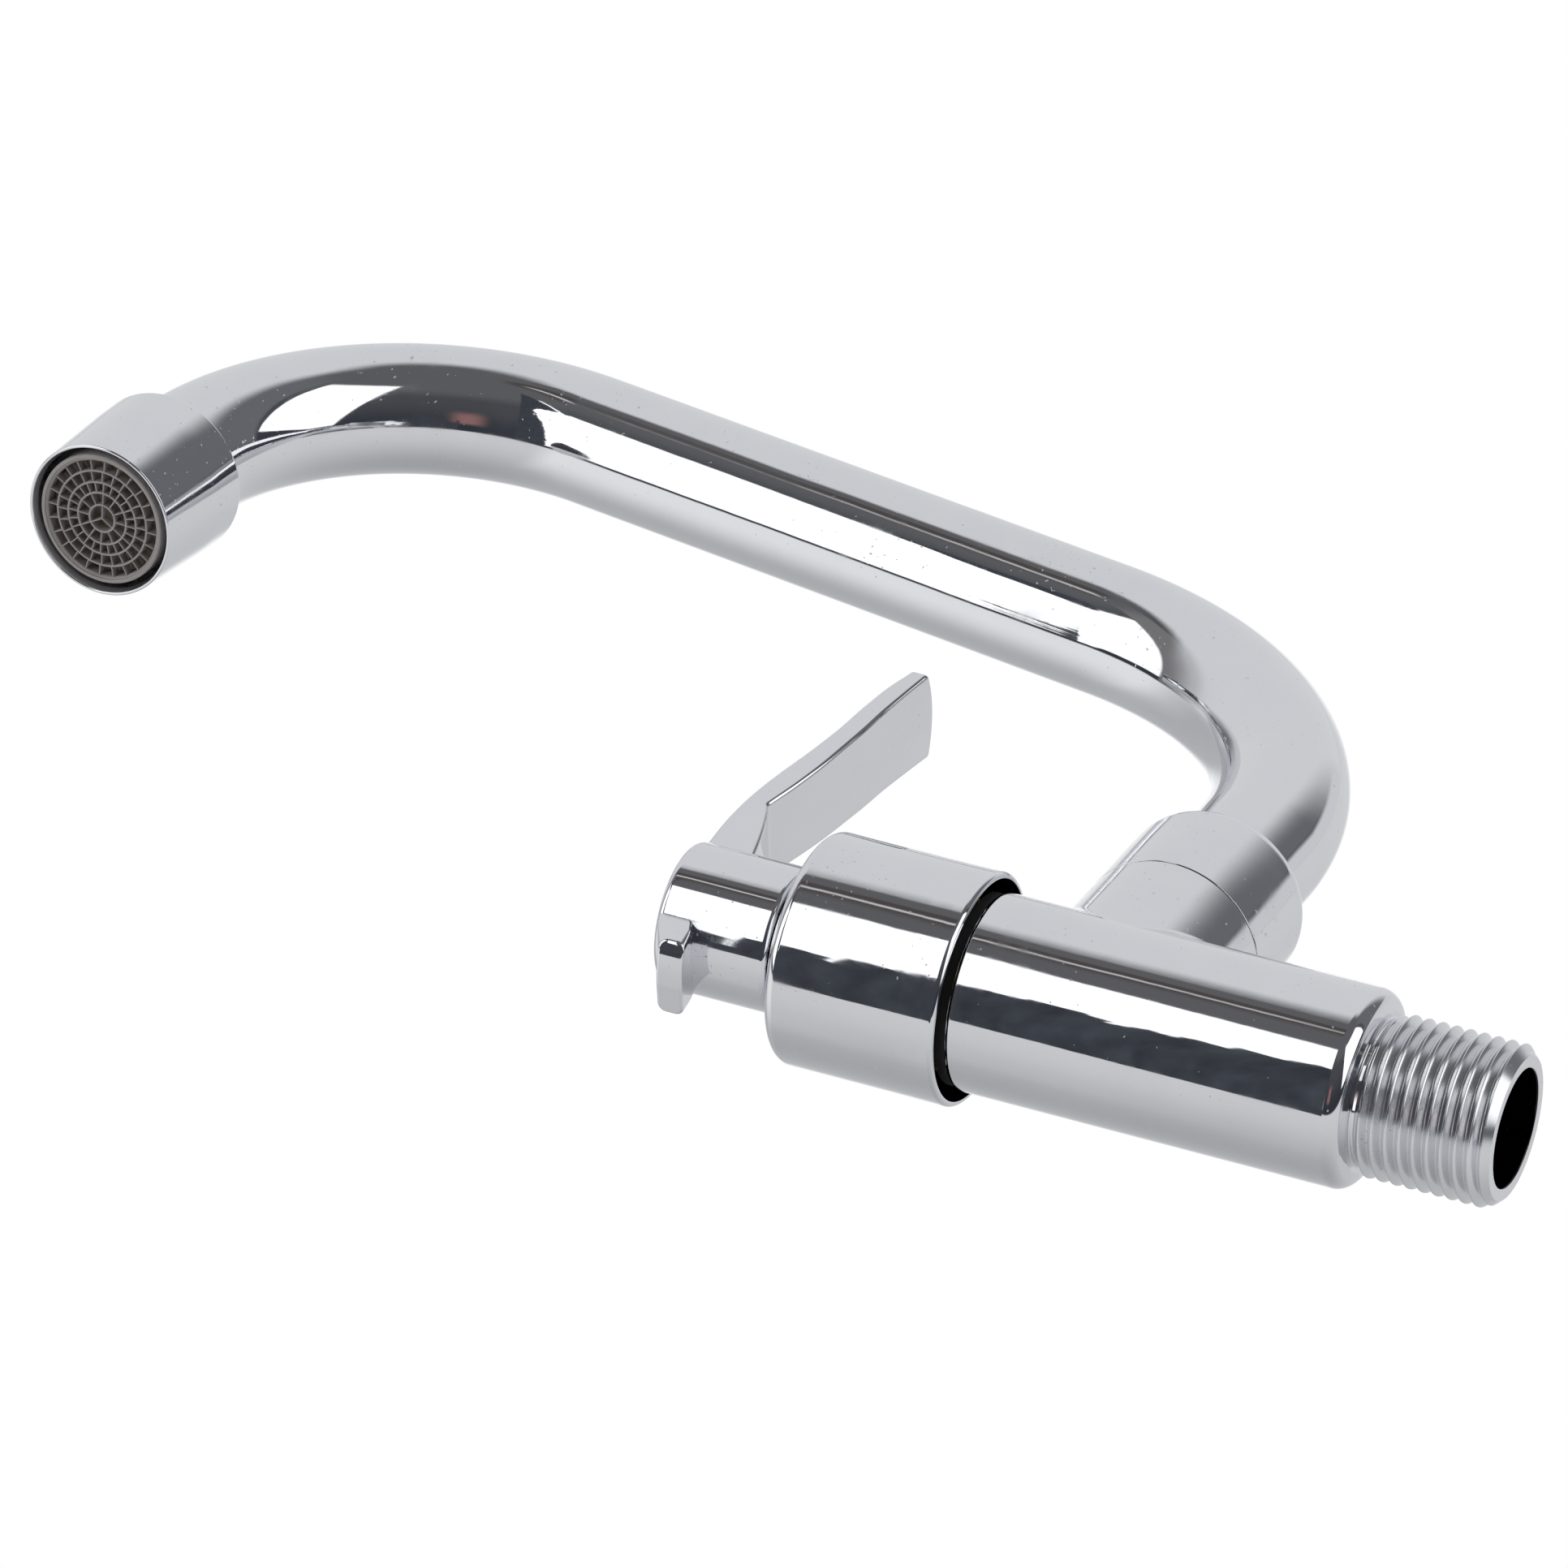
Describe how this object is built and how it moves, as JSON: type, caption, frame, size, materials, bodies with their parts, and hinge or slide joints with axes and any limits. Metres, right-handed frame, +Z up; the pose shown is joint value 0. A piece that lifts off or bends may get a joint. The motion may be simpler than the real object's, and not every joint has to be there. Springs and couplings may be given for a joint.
{
  "type": "wall-mounted kitchen tap",
  "caption": "Wall-mounted kitchen tap with a threaded inlet, a quarter-turn lever valve, and a swan spout that swivels and ends in an aerator.",
  "frame": {"origin": "where the inlet axis meets the shoulder plane that seats against the wall fitting", "axes": "+Y into the wall along the inlet thread, -Y out towards the user, +Z up along the spout's swivel axis, +X to the right for a user who faces the wall"},
  "size_m": [0.0307, 0.235, 0.1367],
  "materials": {
    "chrome_plate": "bright chrome plate on brass",
    "brass": "machined brass",
    "seal_rubber": "black nitrile rubber",
    "ceramic": "lapped white ceramic",
    "white_nylon": "white nylon",
    "spring_steel": "stainless steel",
    "grey_plastic": "moulded grey acetal"
  },
  "bodies": {
    "tap": {"tap_body": "chrome_plate", "seat_seal": "seal_rubber", "valve_housing": "brass", "housing_gasket": "seal_rubber", "fixed_disc": "ceramic", "bonnet_cover": "chrome_plate", "slip_washer": "white_nylon", "slip_ring": "white_nylon", "swivel_nut": "chrome_plate"},
    "lever": {"moving_disc": "ceramic", "spindle": "brass", "spindle_oring_inner": "seal_rubber", "spindle_oring_outer": "seal_rubber", "thrust_washer": "white_nylon", "circlip": "spring_steel", "lever_handle": "chrome_plate", "handle_screw": "spring_steel", "handle_cap": "chrome_plate"},
    "spout": {"spout_ferrule": "brass", "spout_oring_lower": "seal_rubber", "spout_oring_upper": "seal_rubber", "spout_tube": "chrome_plate", "outlet_nipple": "brass", "aerator_housing": "chrome_plate", "aerator_washer": "seal_rubber", "aerator_diffuser": "grey_plastic", "aerator_mesh": "spring_steel", "aerator_core": "grey_plastic"}
  },
  "joints": [
    {"name": "lever_turn", "type": "hinge", "parent": "tap", "child": "lever", "pos_m": [0, -0.079, 0], "axis": [0, -1, 0], "range_deg": [0, 90]},
    {"name": "spout_swivel", "type": "hinge", "parent": "tap", "child": "spout", "pos_m": [0, -0.0367, 0.0295], "axis": [0, 0, 1], "range_deg": [-96.4, 93.6]}
  ]
}
